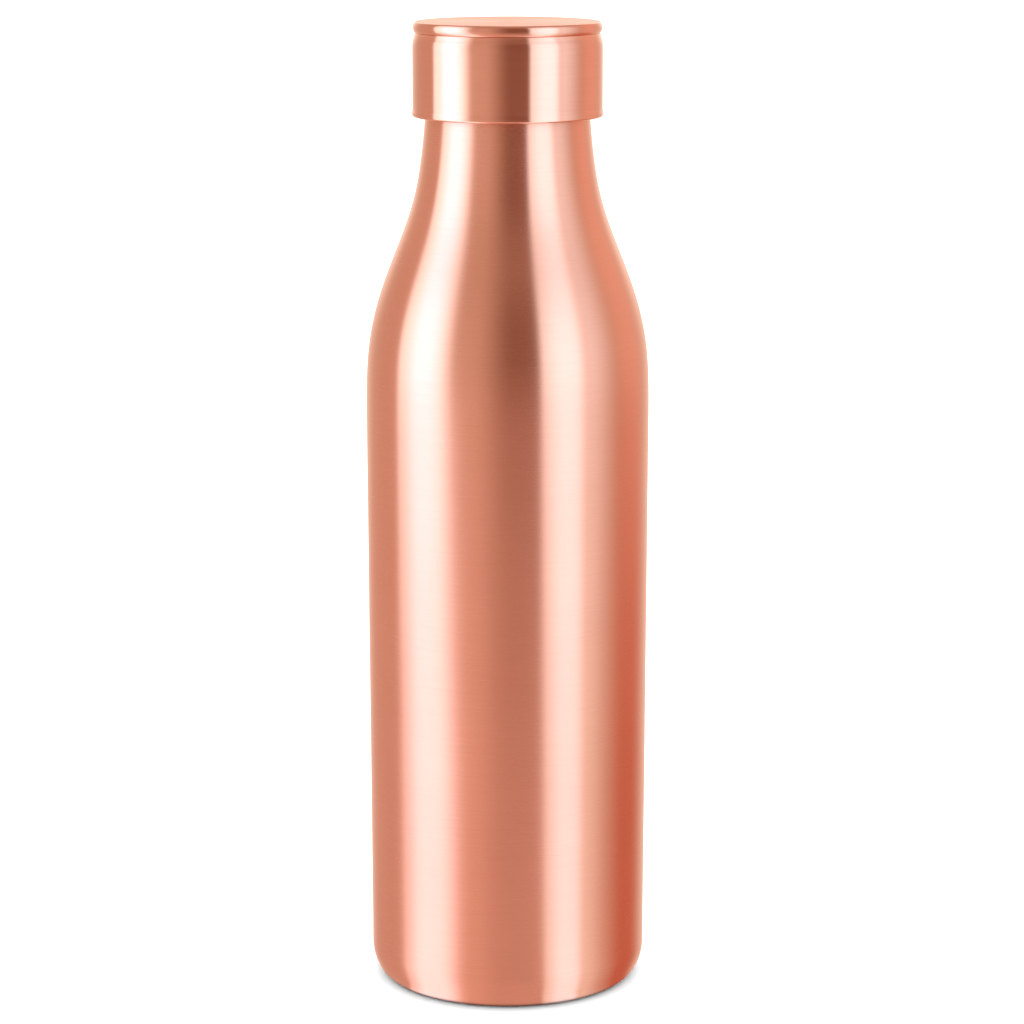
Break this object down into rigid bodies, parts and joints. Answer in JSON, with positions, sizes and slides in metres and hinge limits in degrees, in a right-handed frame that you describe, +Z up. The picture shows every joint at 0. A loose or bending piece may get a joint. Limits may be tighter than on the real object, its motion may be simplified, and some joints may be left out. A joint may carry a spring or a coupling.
{
  "type": "copper water bottle",
  "caption": "Tall round copper water bottle with a sloping shoulder, a narrow neck and a copper screw cap that unscrews and lifts clear of the mouth.",
  "frame": {"origin": "centre of the standing ring, on the plane that the bottle stands on", "axes": "+Z up along the bottle's axis, towards the cap; X and Y are any two directions round it"},
  "size_m": [0.076, 0.076, 0.261],
  "materials": {
    "brushed_copper": "lathe-brushed copper, fine rings round the axis, lacquered",
    "cap_copper": "finer brushed copper, close to polished",
    "plain_copper": "plain spun copper, satin",
    "liner_plastic": "moulded black polypropylene",
    "silicone": "cloudy silicone"
  },
  "bodies": {
    "bottle": {"body_shell": "brushed_copper", "base_pan": "plain_copper", "mouth_sleeve": "plain_copper"},
    "seal": {"cap_seal_ring": "silicone"},
    "cap": {"cap_skirt": "cap_copper", "cap_top_disc": "cap_copper", "cap_liner": "liner_plastic", "cap_inner_disc": "plain_copper"}
  },
  "joints": [
    {"name": "cap_rise", "type": "slide", "parent": "bottle", "child": "seal", "axis": [0, 0, 1], "range_m": [0, 0.024]},
    {"name": "cap_turn", "type": "hinge", "parent": "seal", "child": "cap", "pos_m": [0, 0, 0.2361], "axis": [0, 0, 1], "range_deg": [0, 1440]}
  ],
  "couplings": [
    {"joint": "cap_rise", "follows": "cap_turn", "m_per_rad": 0.00095493}
  ]
}
